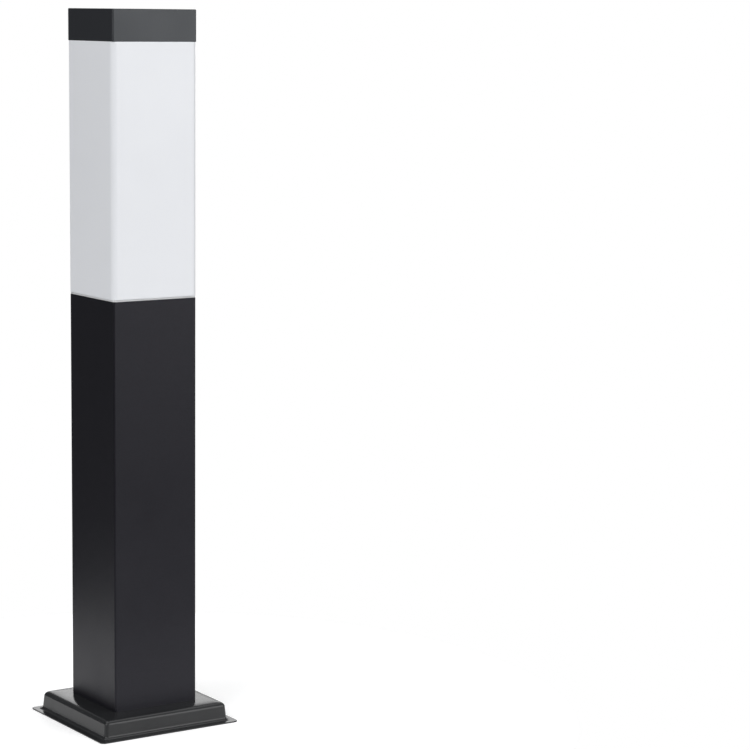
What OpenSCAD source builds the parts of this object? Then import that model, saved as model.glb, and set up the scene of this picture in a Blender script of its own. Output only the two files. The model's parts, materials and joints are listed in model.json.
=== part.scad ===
// Bollard light: square post on a pressed base, opal head with a framed cap, E27 lamp inside.
// Millimetres, +Z up, origin on the ground at the centre of the base.

/* [Overall] */
// Height from the ground to the top of the cap
total_h = 600; // [596:1:620]
// Width of the square post
post_w = 77.5; // [77:0.1:78]
// Height of the top end of the post
post_top = 362; // [358:0.5:364]
// Wall of the post
post_wall = 1.2; // [1:0.1:1.5]
// Outer corner radius of the post
post_r = 1.4; // [1:0.1:2]

/* [Base] */
// Width of the flat flange on the ground
flange_w = 131; // [129:0.5:134]
// Corner radius of the flange
flange_r = 4; // [3:0.5:5]
// Width of the cover's step over its ridge
step_w = 115.2; // [114:0.2:117]
// Height of the cover's ridge
ridge_z = 16.3; // [15.8:0.1:16.6]
// Radius along the ridge
ridge_r = 4; // [3:0.5:5]
// Draft of the cover's wall in degrees
draft = 5; // [2:1:8]
// Radius at the foot of the cover's wall
foot_r = 3; // [2.5:0.5:3.5]
// Radius of the cover's upright corners
step_r = 3.1; // [2.6:0.1:3.6]
// Side of the bracket plate hidden under the cover
bracket_w = 96; // [92:1:98]
// Thickness of the bracket plate
bracket_t = 2.5; // [2:0.5:3]
// Spacing of the ground anchor slots, both ways
anchor_pitch = 54; // [50:1:58]
// Width of an anchor slot
anchor_d = 7; // [6:0.5:8]
// End to end length of an anchor slot
anchor_len = 14; // [12:1:16]
// Bore of the supply cable inlet
inlet_d = 9.2; // [8:0.1:10]

/* [Head] */
// Width of the cap frame
cap_w = 78.4; // [78:0.1:78.8]
// Height of the cap frame
cap_h = 26.5; // [24:0.5:30]
// Width of the rim that shows from above
cap_rim = 2; // [1.6:0.1:2.4]
// Width of the diffuser
diff_w = 79.4; // [79:0.1:79.8]
// Radius of the diffuser's upright corners
diff_r = 5; // [4:0.1:6]
// Wall of the diffuser
diff_wall = 2; // [1.6:0.1:2.4]
// Height of the seal strip that shows between post and diffuser
seal_h = 1.5; // [1:0.1:2]

/* [Lamp] */
// Largest diameter of the bulb
bulb_d = 60; // [55:1:60]
// Pitch of the lamp thread
pitch = 3.629; // [3.6:0.001:3.7]
// Radial clearance between lamp thread and holder thread
thread_gap = 0.25; // [0.2:0.01:0.3]

/* [Hidden] */
$fn = 48;

half = post_w / 2;
inner = half - post_wall;
cover_t = 1;
tube_bottom = 6;
seal_top = post_top + seal_h;
cap_z = total_h - cap_h;
dh = diff_w / 2;
neck = 34;
tray_top = 349;
tab_y = inner - 0.1;        // outer face of the bracket's rear tab
tab_t = 2;
block_y1 = tab_y - tab_t;   // back of the terminal block
block_d = 17;
block_y0 = block_y1 - block_d;
wire_y = 27;                // wire entries of the terminal block
block_z0 = 52;
block_z1 = 72;
poles = [-10, 0, 10];
earth_z = 40;
fix_z = 27;                 // screws between post and bracket
fix_x = 15;
lock_z = 357;               // retaining screws of the head
lock_x = 18;
lamp_z = 376;               // underside of the bulb's centre contact
ecc = 0.45;                 // thread offset: half the thread depth
thread_r = 12.68;

// ---------- helpers ----------
module rsq(h, r) {
    union() {
        square([2 * h - 2 * r, 2 * h], center = true);
        square([2 * h, 2 * h - 2 * r], center = true);
        for (x = [-1, 1], y = [-1, 1]) translate([x * (h - r), y * (h - r)]) circle(r = r, $fn = 32);
    }
}
module block(h, r, z0, z1) { translate([0, 0, z0]) linear_extrude(height = z1 - z0) rsq(h, r); }
module frame(ho, ro, hi, ri, z0, z1) {
    translate([0, 0, z0]) linear_extrude(height = z1 - z0) difference() { rsq(ho, ro); rsq(hi, ri); }
}
module slot2(len, d) {
    union() {
        square([len - d, d], center = true);
        for (x = [-1, 1]) translate([x * (len - d) / 2, 0]) circle(d = d);
    }
}
// a cylinder whose axis runs from y0 to y1
module ycyl(x, z, y0, y1, r) { translate([x, y0, z]) rotate([-90, 0, 0]) cylinder(h = y1 - y0, r = r); }

// points of one rounded square ring, k+1 points in each corner
k = 5;
function ring(h, z, r) = [for (c = [0:3], i = [0:k])
    let (a = 90 * c + 90 * i / k, sx = (c == 0 || c == 3) ? 1 : -1, sy = (c < 2) ? 1 : -1)
    [sx * (h - r) + r * cos(a), sy * (h - r) + r * sin(a), z]];

function unit(v) = v / norm(v);
function cat(p, i, t) = let (n = len(p), a = p[max(i - 1, 0)], b = p[i], c = p[min(i + 1, n - 1)], d = p[min(i + 2, n - 1)])
    0.5 * (2 * b + (c - a) * t + (2 * a - 5 * b + 4 * c - d) * t * t + (3 * b - a - 3 * c + d) * t * t * t);
function smooth(p, s) = concat([for (i = [0:len(p) - 2], j = [0:s - 1]) cat(p, i, j / s)], [p[len(p) - 1]]);

// round wire swept along a smooth route
module wire(route, d, ref, s = 3) {
    q = smooth(route, s);
    n = len(q);
    m = 8;
    pts = [for (i = [0:n - 1])
        let (t = unit(q[min(i + 1, n - 1)] - q[max(i - 1, 0)]), u = unit(cross(ref, t)), v = cross(t, u))
        for (j = [0:m - 1]) q[i] + d / 2 * (cos(360 * j / m) * u + sin(360 * j / m) * v)];
    polyhedron(points = pts, faces = concat(
        [[for (j = [0:m - 1]) j]],
        [[for (j = [0:m - 1]) (n - 1) * m + m - 1 - j]],
        [for (i = [0:n - 2], j = [0:m - 1]) [i * m + j, (i + 1) * m + j, (i + 1) * m + (j + 1) % m]],
        [for (i = [0:n - 2], j = [0:m - 1]) [i * m + j, (i + 1) * m + (j + 1) % m, i * m + (j + 1) % m]]));
}

// pan head screw along +Z, head above z = 0, shank below, cross recess
module pan_screw(d, len, hd, hh) {
    difference() {
        union() {
            translate([0, 0, -len]) cylinder(h = len + 0.2, d = d, $fn = 24);
            rotate_extrude($fn = 32) polygon([[0, 0], [hd / 2, 0], [hd / 2, hh * 0.45], [hd / 2 * 0.86, hh * 0.8], [hd / 2 * 0.55, hh], [0, hh]]);
        }
        for (a = [0, 90]) rotate([0, 0, a]) translate([-hd * 0.27, -hd * 0.06, hh * 0.45]) cube([hd * 0.54, hd * 0.12, hh]);
    }
}

// ---------- base ----------
// pressed cover: rings of its outer skin from the post out to the flange, then its inner skin back
cover_top = 17;
hole = half + 0.05;
lip = 10;                    // slope of the top where the ridge begins, degrees
ridge_c = [step_w / 2 - ridge_r * cos(draft), ridge_z - ridge_r];
ridge_foot = ridge_c + ridge_r * [cos(draft), sin(draft)];
foot_z = cover_t + foot_r - foot_r * sin(draft);
foot_h = ridge_foot[0] + (ridge_foot[1] - foot_z) * tan(draft);
foot_c = [foot_h + foot_r * cos(draft), cover_t + foot_r];
function hermite(p, q, mp, mq, t) = (2 * t * t * t - 3 * t * t + 1) * p + (t * t * t - 2 * t * t + t) * mp + (3 * t * t - 2 * t * t * t) * q + (t * t * t - t * t) * mq;
// slightly domed top, n steps, d under the outer face
function dome(n, d) = let (e = ridge_c + (ridge_r - d) * [sin(lip), cos(lip)], w = e[0] - hole)
    [for (i = [0:n]) [hole + w * i / n, hermite(cover_top - d, e[1], -0.04 * w, -tan(lip) * w, i / n)]];
function bend(c, r, a0, a1, n) = [for (i = [0:n]) c + r * [cos(a0 + (a1 - a0) * i / n), sin(a0 + (a1 - a0) * i / n)]];
function corner(h, d) = 1.45 + (step_r - d * 0.8 - 1.45) * min(1, (h - hole) / 15) + 0.45 * max(0, h - foot_h);
function back(v) = [for (i = [len(v) - 1:-1:0]) v[i]];
face_out = concat(dome(6, 0), [for (i = [1:6]) bend(ridge_c, ridge_r, 90 - lip, draft, 6)[i]], bend(foot_c, foot_r, 180 + draft, 270, 5));
face_in = concat(dome(4, cover_t), [for (i = [1:4]) bend(ridge_c, ridge_r - cover_t, 90 - lip, draft, 4)[i]], bend(foot_c, foot_r + cover_t, 180 + draft, 270, 4));
skin = concat([for (p = face_out) [p[0], p[1], corner(p[0], 0)]],
    [[flange_w / 2, cover_t, flange_r], [flange_w / 2, 0, flange_r]],
    back([for (p = face_in) [p[0], p[1], corner(p[0], 1)]]));
module base_cover() {
    n = 4 * (k + 1);
    m = len(skin);
    color([0.16, 0.165, 0.17]) polyhedron(
        points = [for (s = skin) for (p = ring(s[0], s[1], s[2])) p],
        faces = concat(
            [for (i = [0:m - 1], j = [0:n - 1]) [i * n + j, i * n + (j + 1) % n, ((i + 1) % m) * n + (j + 1) % n]],
            [for (i = [0:m - 1], j = [0:n - 1]) [i * n + j, ((i + 1) % m) * n + (j + 1) % n, ((i + 1) % m) * n + j]]));
}

module post_tube() {
    color([0.16, 0.16, 0.17]) difference() {
        frame(half, post_r, inner, 0.6, tube_bottom, post_top);
        for (x = [-fix_x, fix_x]) ycyl(x, fix_z, inner - 1, half + 1, 2.3);
        for (x = [-lock_x, lock_x]) ycyl(x, lock_z, inner - 1, half + 1, 2.15);
    }
}

module ground_bracket() {
    color([0.72, 0.73, 0.74]) difference() {
        union() {
            difference() {
                block(bracket_w / 2, 3, 0, bracket_t);
                translate([0, 0, -1]) cylinder(r = 20, h = 6);
            }
            // raised seat of the cable inlet
            rotate_extrude() polygon([[8.5, 4], [17, 4], [19.5, 0], [24, 0], [24, 2.5], [21, 2.5], [18.5, 6.5], [8.5, 6.5]]);
            // front locating tab, rear tab with the tongue of the terminal block
            translate([-22, -tab_y, 0]) cube([44, tab_t, 20]);
            translate([-25, tab_y - tab_t, 0]) cube([50, tab_t, 48]);
            translate([-15, tab_y - tab_t, 40]) cube([30, tab_t, 38]);
        }
        for (x = [-1, 1], y = [-1, 1]) translate([x * anchor_pitch / 2, y * anchor_pitch / 2, -1])
            linear_extrude(height = bracket_t + 2) slot2(anchor_len, anchor_d);
        for (x = [-fix_x, fix_x]) ycyl(x, fix_z, tab_y - tab_t - 1, tab_y + 1, 2.05);
        ycyl(0, earth_z, tab_y - tab_t - 1, tab_y + 1, 2.05);
        ycyl(5, 62, tab_y - tab_t - 1, tab_y + 1, 1.55);
    }
}

module bracket_screws() {
    color([0.75, 0.76, 0.77]) for (x = [-fix_x, fix_x])
        translate([x, half, fix_z]) rotate([-90, 0, 0]) pan_screw(4, 7, 8, 2.8);
}

module cable_grommet() {
    color([0.06, 0.06, 0.06]) rotate_extrude() polygon([[inlet_d / 2, 2.4], [9.6, 2.4], [11, 3.2], [11, 4], [8.45, 4], [8.45, 6.5],
        [12, 6.5], [12, 7.8], [10.5, 8.8], [7.4, 9.2], [6.4, 16], [inlet_d / 2, 16]]);
}

module terminal_block() {
    color([0.9, 0.9, 0.86]) difference() {
        union() {
            translate([-15, block_y0 + 5, block_z0]) cube([30, block_d - 5, block_z1 - block_z0]);
            for (x = poles) translate([x - 4, block_y0, block_z0 + 1]) cube([8, 6, block_z1 - block_z0 - 2]);
        }
        for (x = poles) {
            translate([x, wire_y, block_z0 - 1]) cylinder(r = 2.85, h = 30);
            for (z = [57, 67]) ycyl(x, z, block_y0 - 1, wire_y, 2.2);
        }
        ycyl(5, 62, block_y0 - 1, block_y1 + 1, 1.7);
    }
}

module terminal_inserts() {
    color([0.8, 0.66, 0.3]) for (x = poles) difference() {
        translate([x, wire_y, block_z0 + 2]) cylinder(r = 2.8, h = 16);
        translate([x, wire_y, block_z0 + 1]) cylinder(r = 1.75, h = 18);
        for (z = [57, 67]) ycyl(x, z, wire_y - 4, wire_y, 1.25);
    }
}

module terminal_screws() {
    color([0.7, 0.7, 0.68]) for (x = poles, z = [57, 67]) difference() {
        union() {
            ycyl(x, z, wire_y - 5.4, wire_y - 3.2, 2);
            ycyl(x, z, wire_y - 3.4, wire_y - 1.35, 1.2);
        }
        translate([x - 2.5, wire_y - 6, z - 0.3]) cube([5, 1.4, 0.6]);
    }
}

module block_screw() {
    color([0.75, 0.76, 0.77]) translate([5, block_y0 + 5, 62]) rotate([90, 0, 0]) pan_screw(3, 13.8, 1.95 * 1.6, 2);
}

module earth_screw() {
    color([0.75, 0.76, 0.77]) translate([0, block_y1 - 1.8, earth_z]) rotate([90, 0, 0]) pan_screw(4, 3.6, 7.6, 2.6);
}

module earth_washer() {
    color([0.78, 0.78, 0.76]) difference() {
        union() {
            ycyl(0, earth_z, block_y1 - 1.8, block_y1 - 1, 3.6);
            for (a = [0:30:330]) translate([0, block_y1 - 1.8, earth_z]) rotate([0, a, 0]) translate([3.4, 0, -0.4]) cube([0.9, 0.8, 0.8]);
        }
        ycyl(0, earth_z, block_y1 - 3, block_y1 + 1, 2.15);
    }
}

module earth_lug() {
    color([0.8, 0.8, 0.76]) union() {
        difference() {
            union() {
                ycyl(0, earth_z, block_y1 - 1, block_y1, 4.4);
                translate([0, block_y1 - 1, earth_z - 2]) cube([10, 1, 4]);
            }
            ycyl(0, earth_z, block_y1 - 3, block_y1 + 1, 2.15);
        }
        translate([8, block_y1 - 2.2, earth_z]) rotate([0, 90, 0]) difference() {
            cylinder(r = 2.2, h = 7);
            translate([0, 0, -1]) cylinder(r = 1.4, h = 9);
        }
    }
}

live_route = [[-10, 27, 62], [-10, 27, 70], [-10, 27, 80], [-10, 28, 95], [-9, 29, 120], [-8, 30, 160], [-7, 30, 200], [-6, 29, 240], [-5, 27, 275],
              [-3, 21, 305], [-2.2, 9, 328], [-2.2, 1, 339], [-2.2, 0, 346], [-2.2, 0, 352], [-2.5, 0, 355], [-3.4, 0, 357.6], [-5, 0, 358.55], [-6.6, 0, 358.6], [-8.5, 0, 358.6]];
neutral_route = [[0, 27, 62], [0, 27, 70], [0, 27, 80], [0, 28, 95], [0, 29, 120], [0, 30, 160], [0, 30, 200], [0, 29, 240], [1, 27, 275],
                 [2, 21, 305], [2.2, 9, 328], [2.2, 1, 339], [2.2, 0, 346], [2.2, 0, 352], [2.5, 0, 355], [3.4, 0, 357.6], [5, 0, 358.55], [6.6, 0, 358.6], [8.5, 0, 358.6]];
earth_route = [[10, 27, 62], [10, 27, 70], [10, 27, 77], [11.5, 27, 82], [15, 26, 84.5], [18.5, 25, 82], [20.5, 24, 76], [21.5, 24, 64], [22, 26, 52],
               [21.5, 29, 45], [19, 32.2, 41], [15.5, 33.3, 40], [10, 33.25, 40]];
module live_wire() { color([0.36, 0.2, 0.12]) wire(live_route, 2.4, [1, 0.2, 0.1]); }
module neutral_wire() { color([0.1, 0.25, 0.6]) wire(neutral_route, 2.4, [1, 0.2, 0.1]); }
module earth_wire() { color([0.45, 0.6, 0.1]) wire(earth_route, 2.4, [0, 1, 0.1], 3); }

// ---------- lamp carrier ----------
module lamp_tray() {
    color([0.75, 0.76, 0.77]) difference() {
        block(inner, 0.6, tray_top - 14, tray_top);
        block(inner - 1.5, 0.6, tray_top - 15, tray_top - 1.5);
        translate([0, 0, tray_top - 5]) cylinder(r = 9, h = 10);
        for (x = [-25.5, 25.5]) translate([x, 0, tray_top - 5]) cylinder(r = 2.05, h = 10);
        // corner reliefs of the folded skirt
        for (x = [-1, 1], y = [-1, 1]) translate([x * inner, y * inner, tray_top - 15]) cylinder(r = 3, h = 12);
    }
}

module tray_grommet() {
    color([0.06, 0.06, 0.06]) rotate_extrude() polygon([[5, 344.5], [10.8, 344.5], [11.5, 345.5], [11.5, 347.5], [8.95, 347.5], [8.95, 349],
        [11.5, 349], [11.5, 350.4], [10.4, 351.6], [5, 351.6]]);
}

module lampholder_body() {
    color([0.93, 0.92, 0.88]) difference() {
        union() {
            rotate_extrude() polygon([[0, 349], [22, 349], [22, 364], [20.8, 367], [20, 370], [20, 397.5], [19.2, 399.6], [17.6, 401], [0, 401]]);
            for (x = [-1, 1]) hull() {
                translate([x * 25.5, 0, 349]) cylinder(r = 4.6, h = 5, $fn = 32);
                translate([x * 15, 0, 349]) cylinder(r = 6.6, h = 5, $fn = 32);
            }
        }
        translate([0, 0, 379.5]) cylinder(r = 14.5, h = 30);
        translate([0, 0, 368]) cylinder(r = 12.5, h = 20);
        translate([0, 0, 340]) cylinder(r = 15.5, h = 21);
        for (x = [-8.5, 8.5]) translate([x, 0, 355]) cylinder(r = 1.7, h = 15);
        for (x = [-25.5, 25.5]) translate([x, 0, 340]) cylinder(r = 2.2, h = 20);
    }
}

// core of the lamp thread: its radius swings once a turn, in step with the height
module threaded_core(z0, z1, grow, sides) {
    n = round((z1 - z0) / pitch * 8);
    pts = [for (i = [0:n], j = [0:sides - 1])
        let (z = z0 + (z1 - z0) * i / n, a = 360 * j / sides, r = thread_r + grow + ecc * cos(a - 360 * z / pitch))
        [r * cos(a), r * sin(a), z]];
    polyhedron(points = pts, faces = concat(
        [[for (j = [0:sides - 1]) j]],
        [[for (j = [0:sides - 1]) n * sides + sides - 1 - j]],
        [for (i = [0:n - 1], j = [0:sides - 1]) [i * sides + j, (i + 1) * sides + j, (i + 1) * sides + (j + 1) % sides]],
        [for (i = [0:n - 1], j = [0:sides - 1]) [i * sides + j, (i + 1) * sides + (j + 1) % sides, i * sides + (j + 1) % sides]]));
}

module lampholder_shell() {
    color([0.8, 0.66, 0.3]) difference() {
        union() {
            translate([0, 0, 379.6]) cylinder(r = 14.3, h = 19.2);
            translate([0, 0, 379.6]) cylinder(r = 14.45, h = 1);
        }
        threaded_core(379, 399.4, thread_gap, 40);
    }
}

module lampholder_contact() {
    color([0.8, 0.66, 0.3]) union() {
        translate([-10.5, -2.5, 368.1]) cube([12, 5, 0.5]);
        translate([-3.6, -2.5, 368.4]) rotate([0, -55, 0]) translate([0, 0, -0.5]) cube([8.6, 5, 0.5]);
        translate([-1.5, -2.5, 375.1]) cube([4.5, 5, 0.5]);
    }
}

module holder_screws() {
    color([0.75, 0.76, 0.77]) for (x = [-25.5, 25.5]) translate([x, 0, 354]) pan_screw(4, 9, 6.8, 2.6);
}

module holder_terminals() {
    color([0.8, 0.66, 0.3]) for (x = [-1, 1]) difference() {
        union() {
            translate([x * 9 - 2.5, -3, 357]) cube([5, 6, 4]);
            translate([x * 8.5, 0, 361]) cylinder(r = 1.6, h = 6.9);
        }
        translate([x * 9 - x * 3.5, 0, 358.6]) rotate([0, x * 90, 0]) cylinder(r = 1.35, h = 4.6);
    }
}

// ---------- fixing of the head ----------
module head_screws() {
    color([0.12, 0.12, 0.13]) for (x = [-lock_x, lock_x]) difference() {
        ycyl(x, lock_z, neck + 0.3, half + 1, 2);
        translate([x, half - 1, lock_z]) rotate([-90, 0, 0]) cylinder(r = 1.15, h = 3, $fn = 6);
    }
}

module head_nuts() {
    color([0.75, 0.76, 0.77]) for (x = [-lock_x, lock_x]) difference() {
        translate([x, inner - 2.6, lock_z]) rotate([-90, 0, 0]) cylinder(r = 4, h = 2.6, $fn = 6);
        ycyl(x, lock_z, inner - 4, inner + 1, 2.05);
    }
}

// ---------- head ----------
module diffuser_seal() {
    color([0.92, 0.93, 0.93]) union() {
        frame(half - 0.1, 1.6, neck + 0.15, 1, post_top, seal_top);
        difference() {
            frame(inner - 0.3, 1, neck + 0.15, 1, post_top - 1.8, post_top + 0.2);
            for (x = [-lock_x, lock_x]) translate([x - 6, 30, post_top - 5]) cube([12, 12, 4]);
        }
    }
}

module diffuser() {
    color([0.93, 0.94, 0.95]) difference() {
        union() {
            block(dh, diff_r, seal_top, cap_z);
            block(cap_w / 2 - cap_rim - 0.05, 1.2, cap_z - 0.5, total_h - 0.3);
            block(neck, 1.2, 352, seal_top + 0.5);
        }
        block(neck - diff_wall, 0.6, 351, seal_top + 2.5);
        block(dh - diff_wall, diff_r - diff_wall, seal_top + 2, cap_z - 2.5);
        block(cap_w / 2 - cap_rim - 0.05 - diff_wall, 0.8, cap_z - 3, total_h - 0.3 - 2);
    }
}

module cap_frame() {
    color([0.17, 0.17, 0.18]) frame(cap_w / 2, 1.5, cap_w / 2 - cap_rim, 1, cap_z, total_h);
}

// ---------- bulb ----------
module bulb_contact() {
    color([0.75, 0.75, 0.72]) rotate_extrude($fn = 32) polygon([[0, lamp_z], [2.6, lamp_z + 0.1], [4.2, lamp_z + 0.8], [4.8, lamp_z + 1.8], [4.8, lamp_z + 2.4], [0, lamp_z + 2.4]]);
}

module bulb_insulator() {
    color([0.08, 0.08, 0.08]) rotate_extrude() polygon([[0, lamp_z + 2.4], [5.4, lamp_z + 2.4], [6.2, lamp_z + 3], [9.6, lamp_z + 7], [11.2, lamp_z + 8], [11.2, lamp_z + 9.6], [0, lamp_z + 9.6]]);
}

module bulb_shell() {
    color([0.8, 0.8, 0.78]) difference() {
        union() {
            threaded_core(384.5, 400.5, 0, 40);
            translate([0, 0, 400.2]) cylinder(r = 13.4, h = 5.8);
            rotate_extrude() polygon([[0, 384], [11.4, 384], [12, 384.7], [0, 384.7]]);
        }
        translate([0, 0, 383]) cylinder(r = 11.25, h = 30);
    }
}

module bulb_housing() {
    color([0.9, 0.9, 0.9]) rotate_extrude() polygon([[11.2, 402], [11.2, 406], [14.1, 406], [14.9, 407.4], [15.4, 411], [17.2, 416], [20.6, 422], [24.4, 429], [27.4, 437], [28.7, 443],
        [28.9, 446], [26.4, 446], [26.3, 443.5], [24.8, 438], [22, 431], [18.4, 424.4], [15, 418], [13, 412], [9.6, 409], [9.6, 402]]);
}

module led_board() {
    color([0.95, 0.95, 0.9]) union() {
        translate([0, 0, 442]) cylinder(r = 24, h = 1.6);
        for (a = [0:30:330]) rotate([0, 0, a]) translate([17, -1.6, 443.5]) cube([3.2, 3.2, 0.9]);
    }
}

globe_r = bulb_d / 2;
globe_z = 484 - globe_r;
module bulb_globe() {
    color([0.96, 0.96, 0.94]) rotate_extrude() polygon(concat(
        [for (a = [-15:7.5:90]) [globe_r * cos(a), globe_z + globe_r * sin(a)]],
        [for (a = [90:-7.5:-15]) [(globe_r - 1.3) * cos(a), globe_z + (globe_r - 1.3) * sin(a)]]));
}

base_cover();
post_tube();
ground_bracket();
bracket_screws();
cable_grommet();
terminal_block();
terminal_inserts();
terminal_screws();
block_screw();
earth_screw();
earth_washer();
earth_lug();
live_wire();
neutral_wire();
earth_wire();
lamp_tray();
tray_grommet();
lampholder_body();
lampholder_shell();
lampholder_contact();
holder_screws();
holder_terminals();
head_screws();
head_nuts();
diffuser_seal();
diffuser();
cap_frame();
bulb_contact();
bulb_insulator();
bulb_shell();
bulb_housing();
led_board();
bulb_globe();
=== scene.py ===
import bpy, bmesh, json, math
from mathutils import Vector, Matrix


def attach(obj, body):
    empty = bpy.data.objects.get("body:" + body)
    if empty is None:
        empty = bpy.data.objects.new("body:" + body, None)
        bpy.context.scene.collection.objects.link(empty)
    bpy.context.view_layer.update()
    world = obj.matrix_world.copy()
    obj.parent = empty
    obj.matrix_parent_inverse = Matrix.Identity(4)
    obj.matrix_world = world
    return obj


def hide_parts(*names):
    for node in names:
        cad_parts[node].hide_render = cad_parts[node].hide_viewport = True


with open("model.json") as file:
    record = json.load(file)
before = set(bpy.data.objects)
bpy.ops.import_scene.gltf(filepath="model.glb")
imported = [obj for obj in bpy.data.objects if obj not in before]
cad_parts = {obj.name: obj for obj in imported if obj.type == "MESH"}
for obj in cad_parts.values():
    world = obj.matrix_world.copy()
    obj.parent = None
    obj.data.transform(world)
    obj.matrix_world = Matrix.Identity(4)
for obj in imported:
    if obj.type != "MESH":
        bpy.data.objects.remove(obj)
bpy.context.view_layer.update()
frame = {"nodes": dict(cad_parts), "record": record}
N = frame["nodes"]
MM = 0.001
scene = bpy.context.scene
scene.view_settings.view_transform = "Standard"
scene.view_settings.look = "None"

# ---------------------------------------------------------------- camera
def make_camera():
    az, pitch, roll = math.radians(-34.008), math.radians(-8.06), math.radians(0.587)
    fwd = Vector((-math.sin(az) * math.cos(pitch), math.cos(az) * math.cos(pitch), math.sin(pitch)))
    right = Vector((math.cos(az), math.sin(az), 0))
    up = right.cross(fwd)
    r2 = right * math.cos(roll) + up * math.sin(roll)
    u2 = -right * math.sin(roll) + up * math.cos(roll)
    data = bpy.data.cameras.new("camera")
    data.sensor_width = 36
    data.lens = 123.45
    data.clip_start = 0.05
    data.clip_end = 100
    cam = bpy.data.objects.new("camera", data)
    m = Matrix((r2, u2, -fwd)).transposed().to_4x4()
    m.translation = Vector((-1.030145, -1.891181, 0.600327))
    cam.matrix_world = m
    scene.collection.objects.link(cam)
    scene.camera = cam
make_camera()

# ---------------------------------------------------------------- node material helpers
class Mat:
    def __init__(self, name):
        self.m = bpy.data.materials.new(name)
        self.m.use_nodes = True
        self.t = self.m.node_tree
        self.t.nodes.clear()
        self.out = self.t.nodes.new("ShaderNodeOutputMaterial")
        self.b = self.t.nodes.new("ShaderNodeBsdfPrincipled")
        self.t.links.new(self.b.outputs[0], self.out.inputs[0])
        self.co = self.t.nodes.new("ShaderNodeTexCoord")
    def set(self, **kw):
        for k, v in kw.items():
            self.b.inputs[k.replace("_", " ")].default_value = v
        return self
    def link(self, a, b):
        self.t.links.new(a, b)
    def mapping(self, scale=(1, 1, 1), rot=(0, 0, 0)):
        n = self.t.nodes.new("ShaderNodeMapping")
        n.inputs["Scale"].default_value = scale
        n.inputs["Rotation"].default_value = rot
        self.link(self.co.outputs["Object"], n.inputs["Vector"])
        return n.outputs[0]
    def noise(self, scale, detail=3, rough=0.5, vec=None):
        n = self.t.nodes.new("ShaderNodeTexNoise")
        n.inputs["Scale"].default_value = scale
        n.inputs["Detail"].default_value = detail
        n.inputs["Roughness"].default_value = rough
        self.link(vec or self.co.outputs["Object"], n.inputs["Vector"])
        return n.outputs["Fac"]
    def voronoi(self, scale, feature="F1", smooth=None, vec=None):
        n = self.t.nodes.new("ShaderNodeTexVoronoi")
        n.feature = feature
        n.inputs["Scale"].default_value = scale
        self.link(vec or self.co.outputs["Object"], n.inputs["Vector"])
        return n.outputs["Distance"]
    def ramp(self, fac, stops):
        n = self.t.nodes.new("ShaderNodeValToRGB")
        e = n.color_ramp.elements
        while len(e) < len(stops):
            e.new(0.5)
        for el, (p, c) in zip(e, stops):
            el.position = p
            el.color = (c, c, c, 1) if isinstance(c, (int, float)) else (*c, 1)
        self.link(fac, n.inputs[0])
        return n.outputs[0]
    def range(self, fac, a, b, lo=0.0, hi=1.0):
        n = self.t.nodes.new("ShaderNodeMapRange")
        n.inputs["From Min"].default_value = lo
        n.inputs["From Max"].default_value = hi
        n.inputs["To Min"].default_value = a
        n.inputs["To Max"].default_value = b
        self.link(fac, n.inputs["Value"])
        return n.outputs[0]
    def math(self, op, a, b):
        n = self.t.nodes.new("ShaderNodeMath")
        n.operation = op
        for i, v in enumerate((a, b)):
            if isinstance(v, (int, float)):
                n.inputs[i].default_value = v
            else:
                self.link(v, n.inputs[i])
        return n.outputs[0]
    def mix(self, fac, a, b):
        n = self.t.nodes.new("ShaderNodeMix")
        n.data_type = "RGBA"
        if isinstance(fac, (int, float)):
            n.inputs[0].default_value = fac
        else:
            self.link(fac, n.inputs[0])
        for i, v in ((6, a), (7, b)):
            if isinstance(v, tuple):
                n.inputs[i].default_value = (*v, 1)
            else:
                self.link(v, n.inputs[i])
        return n.outputs[2]
    def color(self, s):
        self.link(s, self.b.inputs["Base Color"])
    def rough(self, s):
        self.link(s, self.b.inputs["Roughness"])
    def bump(self, height, distance, strength=1.0, after=None):
        n = self.t.nodes.new("ShaderNodeBump")
        n.inputs["Strength"].default_value = strength
        n.inputs["Distance"].default_value = distance
        self.link(height, n.inputs["Height"])
        if after:
            self.link(after, n.inputs["Normal"])
        self.link(n.outputs[0], self.b.inputs["Normal"])
        return n.outputs[0]
    def edge(self, radius=0.0006):
        """1 on worn convex edges, from the pointiness of the geometry."""
        g = self.t.nodes.new("ShaderNodeNewGeometry")
        return self.range(g.outputs["Pointiness"], 0, 1, 0.52, 0.62)

def powder(name, dark, light, rough, grain=2300, depth=0.00004):
    """Black powder coat: fine sand grain with a softer orange peel under it, a little dust and uneven sheen."""
    m = Mat(name)
    cells = m.voronoi(grain)
    fine = m.noise(grain * 1.7, 2, 0.6)
    peel = m.noise(420, 2, 0.5)
    cloud = m.noise(14, 4, 0.55)
    height = m.math("ADD", m.math("MULTIPLY", cells, 0.8), m.math("MULTIPLY", fine, 0.5))
    n1 = m.bump(peel, 0.00005, 0.35)
    m.bump(height, depth, 0.75, after=n1)
    speck = m.range(m.noise(grain * 0.8, 2, 0.5), 0, 1, 0.35, 0.75)
    tone = m.math("ADD", m.math("MULTIPLY", speck, 0.7), m.math("MULTIPLY", cloud, 0.3))
    m.color(m.mix(tone, dark, light))
    m.rough(m.math("ADD", m.range(cloud, rough - 0.04, rough + 0.05, 0.3, 0.7), m.range(fine, -0.04, 0.04)))
    return m

M = {}
m = powder("powder_black", (0.0040, 0.0039, 0.0056), (0.0090, 0.0087, 0.0120), 0.40)
m.set(Specular_IOR_Level=0.27, Specular_Tint=(0.91, 0.90, 1.0, 1)); M["powder_black"] = m
m = powder("cap_black", (0.0098, 0.0105, 0.0130), (0.0215, 0.0230, 0.0275), 0.42)
m.set(Specular_IOR_Level=0.52, Specular_Tint=(0.93, 0.97, 1.0, 1)); M["cap_black"] = m

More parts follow.
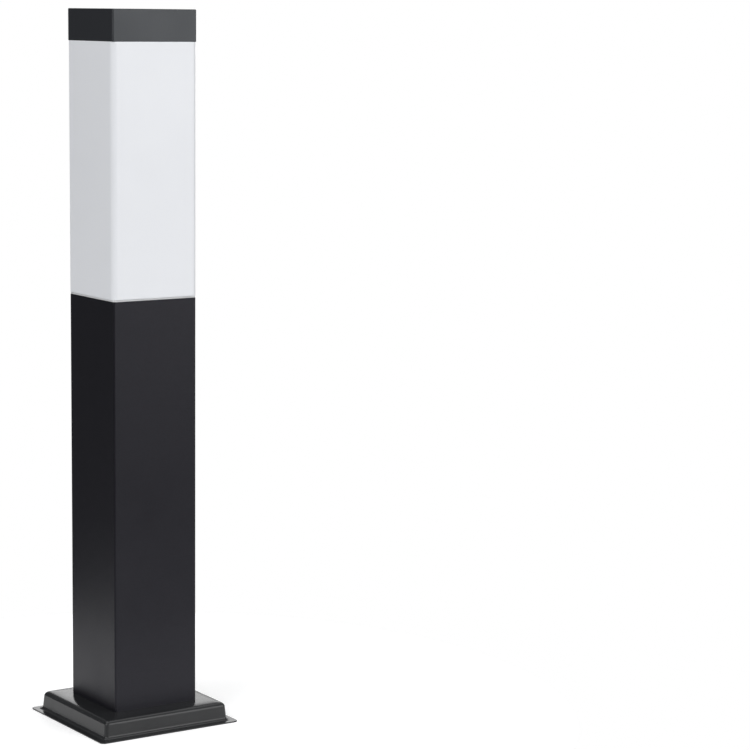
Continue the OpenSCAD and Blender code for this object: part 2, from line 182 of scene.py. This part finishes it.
m = Mat("base_black")     # pressed sheet under a smooth satin coat, faintly wavy
cloud = m.noise(22, 4, 0.55); fine = m.noise(1500, 3, 0.6); wave = m.noise(38, 2, 0.4)
n1 = m.bump(wave, 0.0004, 0.05)
m.bump(fine, 0.00002, 0.35, after=n1)
m.color(m.mix(cloud, (0.012, 0.0125, 0.0135), (0.021, 0.0215, 0.0225)))
m.rough(m.math("ADD", m.range(cloud, 0.15, 0.26, 0.3, 0.7), m.range(fine, -0.02, 0.03)))
m.set(Specular_IOR_Level=0.30); M["base_black"] = m

m = Mat("opal")           # opal acrylic, satin from the mould
cloud = m.noise(9, 3, 0.5); fine = m.noise(1100, 2, 0.5)
m.bump(fine, 0.00001, 0.25)
m.color(m.mix(cloud, (0.788, 0.802, 0.834), (0.830, 0.844, 0.874)))
m.rough(m.range(m.noise(60, 3, 0.5), 0.30, 0.38, 0.3, 0.7))
m.set(Subsurface_Weight=0.22, Subsurface_Radius=(0.0022, 0.0022, 0.0022), Subsurface_Scale=1.0, Specular_IOR_Level=0.45)
M["opal"] = m

m = Mat("seal_white")
fine = m.noise(1800, 3, 0.6)
m.bump(fine, 0.00002, 0.4)
m.color(m.mix(m.noise(70, 3, 0.5), (0.62, 0.63, 0.635), (0.72, 0.73, 0.735)))
m.rough(m.range(fine, 0.5, 0.62)); M["seal_white"] = m

def metal(name, a, b, rough, brushed=(1, 1, 1), scale=900, spread=0.1, aniso=0.0, depth=0.000008):
    m = Mat(name)
    v = m.mapping(scale=brushed)
    fine = m.noise(scale, 4, 0.6, vec=v)
    cloud = m.noise(45, 4, 0.6)
    m.bump(fine, depth, 0.5)
    m.color(m.mix(m.math("ADD", m.math("MULTIPLY", fine, 0.45), m.math("MULTIPLY", cloud, 0.55)), a, b))
    m.rough(m.math("ADD", m.range(cloud, rough - spread / 2, rough + spread, 0.3, 0.7), m.range(fine, -0.03, 0.05)))
    m.set(Metallic=1.0, Anisotropic=aniso)
    M[name] = m
    return m
metal("zinc", (0.46, 0.47, 0.49), (0.66, 0.67, 0.69), 0.32, brushed=(1, 1, 0.25), scale=500)
metal("screw_steel", (0.50, 0.50, 0.51), (0.66, 0.66, 0.67), 0.24, scale=1800)
metal("tin", (0.55, 0.55, 0.54), (0.70, 0.70, 0.68), 0.34, scale=1300)
metal("brass", (0.62, 0.44, 0.17), (0.80, 0.62, 0.29), 0.24, scale=1200)
metal("nickel", (0.55, 0.53, 0.49), (0.70, 0.68, 0.64), 0.20, brushed=(1, 1, 0.2), scale=1600)
metal("solder", (0.50, 0.50, 0.49), (0.66, 0.66, 0.64), 0.36, scale=1400, depth=0.00003)

m = powder("screw_black", (0.012, 0.012, 0.013), (0.028, 0.028, 0.03), 0.34, grain=3500, depth=0.00001); M["screw_black"] = m

def plastic(name, a, b, rough, scale=1400, depth=0.00001, sss=0.0, spec=0.5):
    m = Mat(name)
    fine = m.noise(scale, 3, 0.55); cloud = m.noise(60, 3, 0.5)
    m.bump(fine, depth, 0.4)
    m.color(m.mix(cloud, a, b))
    m.rough(m.range(cloud, rough - 0.04, rough + 0.05, 0.3, 0.7))
    m.set(Subsurface_Weight=sss, Subsurface_Radius=(0.001, 0.001, 0.001), Subsurface_Scale=1.0, Specular_IOR_Level=spec)
    M[name] = m
    return m
plastic("rubber_black", (0.012, 0.012, 0.012), (0.024, 0.024, 0.023), 0.62, scale=900, depth=0.00003)
plastic("terminal_white", (0.70, 0.69, 0.64), (0.78, 0.77, 0.72), 0.38, sss=0.15)
plastic("wire_brown", (0.10, 0.035, 0.014), (0.14, 0.052, 0.022), 0.36)
plastic("wire_blue", (0.010, 0.060, 0.30), (0.016, 0.085, 0.38), 0.36)
plastic("porcelain", (0.78, 0.765, 0.71), (0.85, 0.835, 0.79), 0.12, scale=260, depth=0.00003, sss=0.1)
plastic("insulator_black", (0.008, 0.008, 0.010), (0.016, 0.016, 0.018), 0.10)
plastic("bulb_white", (0.74, 0.74, 0.735), (0.80, 0.80, 0.795), 0.30, sss=0.1)
plastic("bulb_opal", (0.80, 0.79, 0.76), (0.86, 0.85, 0.82), 0.34, sss=0.3)

m = Mat("wire_green_yellow")      # a yellow stripe that winds round the green insulation
w = m.t.nodes.new("ShaderNodeTexWave"); w.wave_type = "BANDS"; w.bands_direction = "DIAGONAL"
w.inputs["Scale"].default_value = 60; w.inputs["Distortion"].default_value = 0.4
m.link(m.co.outputs["Object"], w.inputs["Vector"])
stripe = m.ramp(w.outputs["Fac"], [(0.46, 0.0), (0.54, 1.0)])
m.color(m.mix(stripe, (0.02, 0.19, 0.035), (0.62, 0.52, 0.03)))
m.rough(m.range(m.noise(300, 2), 0.3, 0.42)); m.bump(m.noise(1500, 2), 0.00001, 0.3)
M["wire_green_yellow"] = m

m = Mat("board")
cells = m.voronoi(700); cloud = m.noise(80, 3)
m.color(m.mix(m.range(cloud, 0, 1, 0.35, 0.65), (0.74, 0.74, 0.70), (0.82, 0.82, 0.79)))
m.rough(m.range(cells, 0.25, 0.4)); m.bump(cells, 0.00002, 0.3); M["board"] = m

slot_of = {s["node"]: s["material_slot"] for s in frame["record"]["subparts"]}
body_of = {n: b for b, ns in frame["record"]["behaviour"]["bodies"].items() for n in ns}

# ---------------------------------------------------------------- mesh helpers
def new_obj(name, bm, angle=32):
    bmesh.ops.remove_doubles(bm, verts=bm.verts, dist=1e-7)
    bmesh.ops.recalc_face_normals(bm, faces=bm.faces)
    me = bpy.data.meshes.new(name)
    bm.to_mesh(me); bm.free()
    for p in me.polygons:
        p.use_smooth = True
    me.set_sharp_from_angle(angle=math.radians(angle))
    o = bpy.data.objects.new(name, me)
    scene.collection.objects.link(o)
    return o

def weighted(o):
    w = o.modifiers.new("weighted_normal", "WEIGHTED_NORMAL")
    w.keep_sharp = True
    w.weight = 100
    return o

def ring(h, z, r, k=8):
    pts = []
    r = min(r, h)
    for c in range(4):
        sx = 1 if c in (0, 3) else -1
        sy = 1 if c < 2 else -1
        for i in range(k + 1):
            a = math.radians(90 * c + 90 * i / k)
            pts.append(((sx * (h - r) + r * math.cos(a)) * MM, (sy * (h - r) + r * math.sin(a)) * MM, z * MM))
    return pts

def loft(bm, rings, loop=False, cap_first=False, cap_last=False):
    rows = [[bm.verts.new(p) for p in r] for r in rings]
    n = len(rows[0])
    pairs = list(zip(rows, rows[1:]))
    if loop:
        pairs.append((rows[-1], rows[0]))
    for a, b in pairs:
        for j in range(n):
            bm.faces.new((a[j], a[(j + 1) % n], b[(j + 1) % n], b[j]))
    if cap_first:
        bm.faces.new(rows[0][::-1])
    if cap_last:
        bm.faces.new(rows[-1])
    return rows

def arc(cx, cz, r, a0, a1, n=5):
    """Points of an arc in a section, angles in degrees."""
    return [(cx + r * math.cos(math.radians(a0 + (a1 - a0) * i / n)), cz + r * math.sin(math.radians(a0 + (a1 - a0) * i / n))) for i in range(n + 1)]

def square_loop(name, section, href, rref, k=8, rmin=0.3):
    """Closed ring with a square plan: the section's points are (half width, height), its corner radius follows the offset."""
    bm = bmesh.new()
    loft(bm, [ring(h, z, max(rmin, rref - (href - h)), k) for h, z in section], loop=True)
    return weighted(new_obj(name, bm))

def lathe(bm, section, seg=96, cx=0.0, cy=0.0):
    rows = []
    for r, z in section:
        if r < 1e-6:
            rows.append([bm.verts.new((cx * MM, cy * MM, z * MM))])
        else:
            rows.append([bm.verts.new(((cx + r * math.cos(2 * math.pi * i / seg)) * MM, (cy + r * math.sin(2 * math.pi * i / seg)) * MM, z * MM)) for i in range(seg)])
    for a, b in zip(rows, rows[1:]):
        if len(a) == 1 and len(b) == 1:
            continue
        for j in range(seg):
            k = (j + 1) % seg
            if len(a) == 1:
                bm.faces.new((a[0], b[k], b[j]))
            elif len(b) == 1:
                bm.faces.new((a[j], a[k], b[0]))
            else:
                bm.faces.new((a[j], a[k], b[k], b[j]))
    return rows

def lathe_obj(name, section, seg=96, angle=32, closed=False):
    bm = bmesh.new()
    if closed:
        section = section + [section[0]]
    lathe(bm, section, seg)
    return new_obj(name, bm, angle)

def spline(points, steps):
    """Catmull-Rom through the points."""
    out = []
    n = len(points)
    P = [Vector(p) for p in points]
    for i in range(n - 1):
        a, b, c, d = P[max(i - 1, 0)], P[i], P[i + 1], P[min(i + 2, n - 1)]
        for j in range(steps):
            t = j / steps
            out.append(0.5 * (2 * b + (c - a) * t + (2 * a - 5 * b + 4 * c - d) * t * t + (3 * b - a - 3 * c + d) * t ** 3))
    out.append(P[-1])
    return out

def tube(bm, points, r, seg=16, caps=True):
    """Round tube along a smooth route in millimetres, with frames carried along so it doesn't twist."""
    P = [Vector(p) for p in points]
    rows, prev, u = [], None, None
    for i, p in enumerate(P):
        t = (P[min(i + 1, len(P) - 1)] - P[max(i - 1, 0)]).normalized()
        if u is None:
            u = t.orthogonal().normalized()
        else:
            u = (u - t * u.dot(t)).normalized()
        v = t.cross(u)
        rows.append([p + (u * math.cos(2 * math.pi * j / seg) + v * math.sin(2 * math.pi * j / seg)) * r for j in range(seg)])
    vs = [[bm.verts.new(q * MM) for q in row] for row in rows]
    for a, b in zip(vs, vs[1:]):
        for j in range(seg):
            k = (j + 1) % seg
            bm.faces.new((a[j], a[k], b[k], b[j]))
    if caps:
        bm.faces.new(vs[0][::-1]); bm.faces.new(vs[-1])

def cylinder(bm, p0, p1, r, seg=32):
    tube(bm, [p0, p1], r, seg)

def boolean(o, cutter_bm, op="DIFFERENCE", angle=32):
    """Cuts o with the cutter, applied to the mesh."""
    bmesh.ops.recalc_face_normals(cutter_bm, faces=cutter_bm.faces)
    me = bpy.data.meshes.new("cut"); cutter_bm.to_mesh(me); cutter_bm.free()
    c = bpy.data.objects.new("cut", me); scene.collection.objects.link(c)
    kept = [(x.type, x.name) for x in o.modifiers]
    for x in list(o.modifiers):
        o.modifiers.remove(x)
    b = o.modifiers.new("cut", "BOOLEAN"); b.operation = op; b.object = c; b.solver = "EXACT"
    bpy.context.view_layer.update()
    dg = bpy.context.evaluated_depsgraph_get()
    new = bpy.data.meshes.new_from_object(o.evaluated_get(dg))
    o.modifiers.clear()
    o.data = new
    for p in new.polygons:
        p.use_smooth = True
    new.set_sharp_from_angle(angle=math.radians(angle))
    bpy.data.objects.remove(c)
    return weighted(o) if kept else o

def put(o, node, *also):
    """Puts o in the place of a CAD node: its body, its slot and its material."""
    s = slot_of[node]
    o.data.materials.clear()
    o.data.materials.append(M[s].m)
    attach(o, body_of[node])
    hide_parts(node, *also)
    return o

# ---------------------------------------------------------------- base cover
def cover_section(d, steps=(14, 9, 7)):
    """Section of the pressed skin, d mm under its outer face: nearly flat top, ridge, drafted wall, foot; (half width, height, corner radius)."""
    draft, lip = math.radians(5), math.radians(10)
    cx, cz, rr = 57.6 - 4 * math.cos(draft), 12.3, 4 - d
    pts = []
    ex, ez = cx + rr * math.sin(lip), cz + rr * math.cos(lip)
    w = ex - 38.8
    for i in range(steps[0] + 1):
        t = i / steps[0]
        z = (2 * t ** 3 - 3 * t * t + 1) * (17 - d) + (t ** 3 - 2 * t * t + t) * -0.04 * w + (3 * t * t - 2 * t ** 3) * ez + (t ** 3 - t * t) * -math.tan(lip) * w
        pts.append((38.8 + w * t, z))
    for i in range(1, steps[1] + 1):
        a = math.radians(80 - 75 * i / steps[1])
        pts.append((cx + rr * math.cos(a), cz + rr * math.sin(a)))
    foot_z = 4 - 3 * math.sin(draft)
    foot_h = 57.6 + (12.3 + 4 * math.sin(draft) - foot_z) * math.tan(draft)
    for i in range(steps[2] + 1):
        a = math.radians(185 + 85 * i / steps[2])
        pts.append((foot_h + 3 * math.cos(draft) + (3 + d) * math.cos(a), 4 + (3 + d) * math.sin(a)))
    return [(h, z, 1.45 + (1.65 - 0.8 * d) * min(1, (h - 38.8) / 15) + 0.45 * max(0, h - foot_h)) for h, z in pts]

def base_cover():
    out = cover_section(0)
    edge = [(64.6, 1.0, 4.2)] + [(h, z, 4.0) for h, z in arc(65.2, 0.7, 0.3, 90, 0, 3)] + [(h, z, 4.0) for h, z in arc(65.2, 0.3, 0.3, 0, -90, 3)] + [(64.4, 0, 4.2)]
    inn = cover_section(1, (8, 5, 4))[::-1]
    bm = bmesh.new()
    loft(bm, [ring(h, z, r, 12) for h, z, r in out + edge + inn], loop=True)
    return weighted(new_obj("base_cover_shell", bm, 40))
put(base_cover(), "base_cover")

# ---------------------------------------------------------------- post
def post():
    s = [(38.75, 6.3)] + arc(38.35, 361.6, 0.4, 0, 90, 4) + [(37.85, 362)] + arc(37.85, 361.7, 0.3, 90, 180, 3) + [(37.55, 6.3)] + arc(37.85, 6.3, 0.3, 180, 270, 3) + arc(38.45, 6.3, 0.3, 270, 360, 3)
    o = square_loop("post_shell", s, 38.75, 1.4)
    cut = bmesh.new()
    for x in (-15, 15):
        cylinder(cut, (x, 36, 27), (x, 41, 27), 2.3)
    for x in (-18, 18):
        cylinder(cut, (x, 36, 357), (x, 41, 357), 2.15)
    return boolean(o, cut)
put(post(), "post_tube")

# ---------------------------------------------------------------- head
def diffuser():
    bm = bmesh.new()
    def rows(sec, href, rref, rmin=0.4):
        return [ring(h, z, max(rmin, rref - (href - h)), 8) for h, z in sec]
    outer = rows([(32.4, 352)] + arc(33.6, 352.4, 0.4, 270, 360, 3) + [(34, 363.2)], 34, 1.2)
    outer += rows([(34.2, 363.5), (38.9, 363.5)] + arc(39.1, 364.1, 0.6, 270, 360, 5) + arc(39.3, 573.1, 0.4, 0, 90, 4), 39.7, 5)
    outer += rows([(37.15, 573.5)] + arc(36.65, 599.2, 0.5, 0, 90, 4), 37.15, 1.2)
    inner = rows([(32.4, 352)] + arc(32.4, 352.4, 0.4, 270, 180, 3)[1:] + [(32, 365.5), (37.7, 365.5), (37.7, 571), (35.15, 571), (35.15, 597.7)], 37.7, 3, 0.8)
    loft(bm, outer, cap_last=True)
    loft(bm, inner, cap_last=True)
    return weighted(new_obj("diffuser_shell", bm))
put(diffuser(), "diffuser")

def cap():
    s = arc(38.7, 574.0, 0.5, 270, 360, 4) + arc(38.4, 599.2, 0.8, 0, 90, 6) + arc(37.5, 599.7, 0.3, 90, 180, 3) + arc(37.5, 573.8, 0.3, 180, 270, 3)
    return square_loop("cap_shell", s, 39.2, 1.5, k=10, rmin=0.5)
put(cap(), "cap_frame")

def seal():
    s = [(34.15, 360.3), (37.0, 360.3), (37.25, 360.6), (37.25, 362.0), (38.45, 362.0)] + arc(38.35, 362.3, 0.3, -60, 0, 2) + arc(38.35, 363.2, 0.3, 0, 90, 3) + [(34.15, 363.5)]
    return square_loop("seal_shell", s, 38.65, 1.6, k=8, rmin=0.8)
put(seal(), "diffuser_seal")

# ---------------------------------------------------------------- screws
def pan_head(o_name, places, node, d, length, hd, hh, direction):
    """Pan head screws with a cross recess; direction is the way the head faces."""
    bm = bmesh.new()
    prof = [(0, -length), (d / 2 - 0.25, -length), (d / 2, -length + 0.25)]
    z = -length + 0.5
    while z < -0.8:                           # thread
        prof += [(d / 2, z), (d / 2 - 0.28, z + 0.3)]
        z += 0.6
    prof += [(d / 2, -0.2), (d / 2, 0), (hd / 2 - 0.15, 0), (hd / 2, 0.15), (hd / 2, hh * 0.4)]
    prof += [(hd / 2 * math.cos(a), hh * 0.4 + hh * 0.6 * math.sin(a)) for a in [math.radians(15 * i) for i in range(1, 6)]] + [(0, hh)]
    lathe(bm, prof, 40)
    o = new_obj(o_name, bm, 40)
    cut = bmesh.new()
    for a in (0, 90):
        ca, sa = math.cos(math.radians(a)), math.sin(math.radians(a))
        L, W = hd * 0.27, hd * 0.055
        base = [(-L * 0.6, -W), (L * 0.6, -W), (L * 0.6, W), (-L * 0.6, W)]
        top = [(-L, -W * 1.2), (L, -W * 1.2), (L, W * 1.2), (-L, W * 1.2)]
        lo = [cut.verts.new(((x * ca - y * sa) * MM, (x * sa + y * ca) * MM, hh * 0.42 * MM)) for x, y in base]
        hi = [cut.verts.new(((x * ca - y * sa) * MM, (x * sa + y * ca) * MM, (hh + 0.5) * MM)) for x, y in top]
        cut.faces.new(lo[::-1]); cut.faces.new(hi)
        for i in range(4):
            cut.faces.new((lo[i], lo[(i + 1) % 4], hi[(i + 1) % 4], hi[i]))
    boolean(o, cut, angle=40)
    one = o.data
    rot = Vector((0, 0, 1)).rotation_difference(Vector(direction)).to_matrix().to_4x4()
    bm = bmesh.new()
    for i, p in enumerate(places):
        part = bmesh.new(); part.from_mesh(one)
        part.transform(Matrix.Translation(Vector(p) * MM) @ rot @ Matrix.Rotation(math.radians(23 + 41 * i), 4, "Z"))
        tmp = bpy.data.meshes.new("tmp"); part.to_mesh(tmp); part.free()
        bm.from_mesh(tmp); bpy.data.meshes.remove(tmp)
    bpy.data.objects.remove(o)
    return put(new_obj(o_name, bm, 40), node)
pan_head("post_screws", [(-15, 38.75, 27), (15, 38.75, 27)], "bracket_screws", 4, 7, 8, 2.8, (0, 1, 0))
pan_head("holder_fixings", [(-25.5, 0, 354), (25.5, 0, 354)], "holder_screws", 4, 9, 6.8, 2.6, (0, 0, 1))

def set_screws():
    bm = bmesh.new()
    for x in (-18, 18):
        prof = [(0, 0), (1.5, 0), (2.0, 0.5)]
        z = 0.9
        while z < 4.6:
            prof += [(2.0, z), (1.75, z + 0.3)]
            z += 0.6
        prof += [(2.0, 4.9), (1.8, 5.25), (0, 5.25)]
        part = bmesh.new()
        lathe(part, prof, 40)
        part.transform(Matrix.Translation(Vector((x, 34.35, 357)) * MM) @ Matrix.Rotation(math.radians(-90), 4, "X"))
        tmp = bpy.data.meshes.new("tmp"); part.to_mesh(tmp); part.free(); bm.from_mesh(tmp); bpy.data.meshes.remove(tmp)
    o = new_obj("head_set_screws", bm, 40)
    cut = bmesh.new()
    for x in (-18, 18):
        tube(cut, [(x, 37.6, 357), (x, 41, 357)], 1.1, 6)
    return put(boolean(o, cut, angle=40), "head_screws")
set_screws()

# ---------------------------------------------------------------- bulb
P = 3.629
def threaded(bm, z0, z1, r, amp, seg=72, step=0.3, fade=1.2, outward=True, ends=None):
    """Rows of a rounded lamp thread: the radius swings once a turn, in phase with the height."""
    rows, z = [], z0
    n = max(2, round((z1 - z0) / step))
    for i in range(n + 1):
        z = z0 + (z1 - z0) * i / n
        f = min(1, (z - z0) / fade, (z1 - z) / fade)
        f = max(0.0, f); f = f * f * (3 - 2 * f)
        rows.append([((r + amp * f * math.cos(2 * math.pi * j / seg - 2 * math.pi * z / P)) * math.cos(2 * math.pi * j / seg),
                      (r + amp * f * math.cos(2 * math.pi * j / seg - 2 * math.pi * z / P)) * math.sin(2 * math.pi * j / seg), z) for j in range(seg)])
    return rows

def bulb_shell():
    bm = bmesh.new()
    seg = 72
    circle = lambda r, z: [(r * math.cos(2 * math.pi * j / seg), r * math.sin(2 * math.pi * j / seg), z) for j in range(seg)]
    rows = [circle(11.5, 384.0), circle(12.0, 384.2), circle(12.3, 384.7)]
    rows += threaded(bm, 385.0, 400.6, 12.62, 0.42, seg)
    rows += [circle(12.9, 401.4), circle(13.08, 402.2), circle(13.08, 405.6), circle(12.9, 406.0), circle(11.4, 406.0)]
    rows += [circle(11.3, 384.4)]
    loft(bm, [[(x * MM, y * MM, z * MM) for x, y, z in r] for r in rows], loop=True)
    return new_obj("bulb_cap", bm, 45)
put(bulb_shell(), "bulb_shell")
put(lathe_obj("bulb_tip", [(0, 376.02)] + arc(0, 383.5, 7.48, 268, 292, 5)[1:] + [(3.9, 377.3), (4.6, 377.7), (4.75, 378.2), (4.7, 378.4), (0, 378.4)], 48), "bulb_contact")
put(lathe_obj("bulb_glass_ring", [(0, 378.4), (5.1, 378.4), (5.5, 378.6), (6.2, 379.1), (8.0, 381.1), (9.5, 382.9), (10.6, 383.7), (11.15, 384.3), (11.2, 385.6), (0, 385.6)], 72), "bulb_insulator")
HOUSE = [(14.1, 406), (14.8, 406.8), (15.1, 408.5), (15.5, 411.5), (17.2, 416.2), (20.6, 422.6), (24.3, 429.8), (27.0, 437), (28.4, 442.6), (28.75, 445.4)]
def housing():
    outer = [tuple(p)[:2] for p in spline([(r, z, 0) for r, z in HOUSE], 4)]
    sec = [(11.3, 406.1)] + [(13.9, 406.0)] + outer + [(28.6, 445.9), (28.3, 446)] + [(26.6, 446), (26.4, 443.5), (24.9, 438), (22.1, 431), (18.5, 424.4), (15.1, 418), (13.1, 412), (11.3, 409)]
    return put(lathe_obj("bulb_body", sec, 96, closed=True), "bulb_housing")
housing()
def globe():
    zc = 454
    outer = [(30 * math.cos(math.radians(a)), zc + 30 * math.sin(math.radians(a))) for a in range(-15, 90, 3)] + [(0, 484)]
    inner = [(28.7 * math.cos(math.radians(a)), zc + 28.7 * math.sin(math.radians(a))) for a in range(-15, 90, 3)] + [(0, 482.7)]
    sec = outer + inner[::-1]
    bm = bmesh.new()
    rows = lathe(bm, outer, 96)
    rows2 = lathe(bm, inner, 96)
    a, b = rows[0], rows2[0]
    for j in range(96):
        bm.faces.new((a[j], a[(j + 1) % 96], b[(j + 1) % 96], b[j]))
    return put(new_obj("bulb_dome", bm), "bulb_globe")
globe()

# ---------------------------------------------------------------- lampholder
def holder():
    bm = bmesh.new()
    sec = [(15.5, 349), (21.6, 349), (22, 349.4), (22, 363.6), (21.6, 365.2), (20.9, 366.6), (20.3, 368.6), (20, 370.6), (20, 397.2), (19.7, 398.8), (18.9, 400.2), (17.4, 401), (15.2, 401), (14.6, 400.6), (14.5, 400),
           (14.5, 379.5), (12.5, 379.5), (12.5, 368), (4, 368), (4, 361), (15.5, 361)]
    lathe(bm, sec + [sec[0]], 96)
    o = new_obj("holder_porcelain", bm)
    for sx in (-1, 1):
        ear = bmesh.new()
        pts = []
        for a in range(-90, 91, 15):
            pts.append((25.5 + 4.6 * math.cos(math.radians(a)), 4.6 * math.sin(math.radians(a))))
        pts += [(17.5, 6.6), (17.5, -6.6)]
        sec2 = [(349.0, 0.3), (349.3, 0), (353.5, 0), (353.85, 0.15), (354.0, 0.5)]
        rows = []
        for z, inset in sec2:
            row = []
            for x, y in pts:
                d = Vector((x - 21, y, 0)); L = d.length
                q = Vector((21, 0, 0)) + d * ((L - inset) / L)
                row.append(ear.verts.new((sx * q.x * MM, q.y * MM, z * MM)))
            rows.append(row)
        n = len(pts)
        for a, b in zip(rows, rows[1:]):
            for j in range(n):
                ear.faces.new((a[j], a[(j + 1) % n], b[(j + 1) % n], b[j]))
        ear.faces.new(rows[0][::-1]); ear.faces.new(rows[-1])
        boolean(o, ear, "UNION")
    cut = bmesh.new()
    for x in (-25.5, 25.5):
        cylinder(cut, (x, 0, 348), (x, 0, 356), 2.2)
    for x in (-8.5, 8.5):
        cylinder(cut, (x, 0, 360), (x, 0, 369), 1.7)
    boolean(o, cut)
    return put(o, "lampholder_body")
holder()

def holder_shell():
    bm = bmesh.new()
    seg = 72
    circle = lambda r, z: [(r * math.cos(2 * math.pi * j / seg), r * math.sin(2 * math.pi * j / seg), z) for j in range(seg)]
    rows = [circle(14.3, 379.6), circle(14.3, 398.5), circle(14.1, 398.8), circle(13.6, 398.8)]
    rows += threaded(bm, 380.2, 398.4, 13.0, 0.42, seg)[::-1]
    rows += [circle(13.2, 379.7), circle(13.5, 379.6)]
    loft(bm, [[(x * MM, y * MM, z * MM) for x, y, z in r] for r in rows], loop=True)
    return put(new_obj("holder_thread", bm, 45), "lampholder_shell")
holder_shell()

# ---------------------------------------------------------------- wires
LIVE = [(-10, 27, 62), (-10, 27, 70), (-10, 27, 80), (-10, 28, 95), (-9, 29, 120), (-8, 30, 160), (-7, 30, 200), (-6, 29, 240), (-5, 27, 275),
        (-3, 21, 305), (-2.2, 9, 328), (-2.2, 1, 339), (-2.2, 0, 346), (-2.2, 0, 352), (-2.5, 0, 355), (-3.4, 0, 357.6), (-5, 0, 358.55), (-6.6, 0, 358.6), (-8.5, 0, 358.6)]
NEUTRAL = [(0, 27, 62), (0, 27, 70), (0, 27, 80), (0, 28, 95), (0, 29, 120), (0, 30, 160), (0, 30, 200), (0, 29, 240), (1, 27, 275),
           (2, 21, 305), (2.2, 9, 328), (2.2, 1, 339), (2.2, 0, 346), (2.2, 0, 352), (2.5, 0, 355), (3.4, 0, 357.6), (5, 0, 358.55), (6.6, 0, 358.6), (8.5, 0, 358.6)]
EARTH = [(10, 27, 62), (10, 27, 70), (10, 27, 77), (11.5, 27, 82), (15, 26, 84.5), (18.5, 25, 82), (20.5, 24, 76), (21.5, 24, 64), (22, 26, 52),
         (21.5, 29, 45), (19, 32.2, 41), (15.5, 33.3, 40), (10, 33.25, 40)]
for name, route, node in (("wire_live", LIVE, "live_wire"), ("wire_neutral", NEUTRAL, "neutral_wire"), ("wire_earth", EARTH, "earth_wire")):
    bm = bmesh.new()
    tube(bm, spline(route, 8), 1.2, 20)
    put(new_obj(name, bm, 50), node)

# ---------------------------------------------------------------- rubber parts
put(lathe_obj("inlet_grommet", [(4.6, 2.6), (4.8, 2.4), (9.4, 2.4), (10.7, 3.0), (11, 3.4), (11, 3.8), (10.8, 4), (8.45, 4), (8.45, 6.5), (11.8, 6.5), (12, 6.7), (12, 7.7), (11.6, 8.2), (10.5, 8.8),
     (8.4, 9.1), (7.5, 9.6), (7.1, 11), (6.5, 15.6), (6.2, 16), (4.9, 16), (4.6, 15.7)], 72, closed=True), "cable_grommet")
put(lathe_obj("wire_grommet", [(5.0, 344.8), (5.3, 344.5), (10.6, 344.5), (11.3, 345.2), (11.5, 345.7), (11.5, 347.3), (11.3, 347.5), (8.95, 347.5), (8.95, 349), (11.3, 349), (11.5, 349.2), (11.5, 350.3),
     (11.0, 351.1), (10.3, 351.6), (5.3, 351.6), (5.0, 351.3)], 72, closed=True), "tray_grommet")

# ---------------------------------------------------------------- the other nodes keep their CAD shape, with small edge rounds
rounds = {"ground_bracket": 0.5, "lamp_tray": 0.4, "terminal_block": 0.35, "terminal_inserts": 0.12, "terminal_screws": 0.1, "block_screw": 0.12, "earth_screw": 0.15,
          "earth_washer": 0.08, "earth_lug": 0.15, "lampholder_contact": 0.1, "holder_terminals": 0.2, "head_nuts": 0.25, "led_board": 0.15}
for node, width in rounds.items():
    o = N[node]
    o.data.materials.clear()
    o.data.materials.append(M[slot_of[node]].m)
    b = o.modifiers.new("edge_round", "BEVEL")
    b.width = width * MM; b.segments = 2; b.limit_method = "ANGLE"; b.angle_limit = math.radians(40)

# ---------------------------------------------------------------- floor and light
def floor():
    bm = bmesh.new()
    ringv = [bm.verts.new((0.38 * math.cos(2 * math.pi * i / 96), 0.38 * math.sin(2 * math.pi * i / 96), -0.0001)) for i in range(96)]
    bm.faces.new(ringv)
    bm.normal_update()
    me = bpy.data.meshes.new("floor"); bm.to_mesh(me); bm.free()
    o = bpy.data.objects.new("floor", me); scene.collection.objects.link(o)
    f = Mat("floor_pale")
    f.color(f.mix(f.noise(3, 3), (0.90, 0.90, 0.90), (0.93, 0.93, 0.93)))
    f.rough(f.range(f.noise(30, 2), 0.6, 0.75)); f.set(Specular_IOR_Level=0.2, Emission_Color=(1, 1, 1, 1), Emission_Strength=0.22)
    me.materials.append(f.m)
floor()

def area(name, loc, target, size, power, size_y=None):
    d = bpy.data.lights.new(name, "AREA")
    d.shape = "RECTANGLE"; d.size = size; d.size_y = size_y or size; d.energy = power
    o = bpy.data.objects.new(name, d); scene.collection.objects.link(o)
    v = Vector(target) - Vector(loc)
    o.matrix_world = Matrix.Translation(loc) @ v.to_track_quat("-Z", "Y").to_matrix().to_4x4()
    o.visible_camera = False
    return o
area("top_box", (0.1, 0.0, 2.6), (0, 0, 0), 3.0, 50)
area("key_right", (2.0, -2.7, 1.04), (0, 0, 0.50), 3.2, 74, 2.0)
area("fill_left", (-2.6, -0.9, 1.75), (0, 0, 0.5), 1.8, 54)
area("fill_front", (-1.9, -2.4, 1.9), (0, 0, 0.3), 1.4, 12)
area("back_soft", (1.9, 2.02, 0.95), (0, 0, 0.1), 2.4, 16, 1.1)
area("back_fill", (0.5, 2.9, 1.9), (0, 0, 0.3), 1.4, 1)

w = bpy.data.worlds.new("studio"); scene.world = w
w.use_nodes = True
t = w.node_tree; t.nodes.clear()
out = t.nodes.new("ShaderNodeOutputWorld"); bg = t.nodes.new("ShaderNodeBackground"); white = t.nodes.new("ShaderNodeBackground")
mixs = t.nodes.new("ShaderNodeMixShader"); lp = t.nodes.new("ShaderNodeLightPath")
bg.inputs[0].default_value = (0.95, 0.97, 1.0, 1); bg.inputs[1].default_value = 0.12
white.inputs[0].default_value = (1, 1, 1, 1); white.inputs[1].default_value = 1.0
t.links.new(lp.outputs["Is Camera Ray"], mixs.inputs[0]); t.links.new(bg.outputs[0], mixs.inputs[1]); t.links.new(white.outputs[0], mixs.inputs[2])
t.links.new(mixs.outputs[0], out.inputs[0])

bpy.context.view_layer.update()
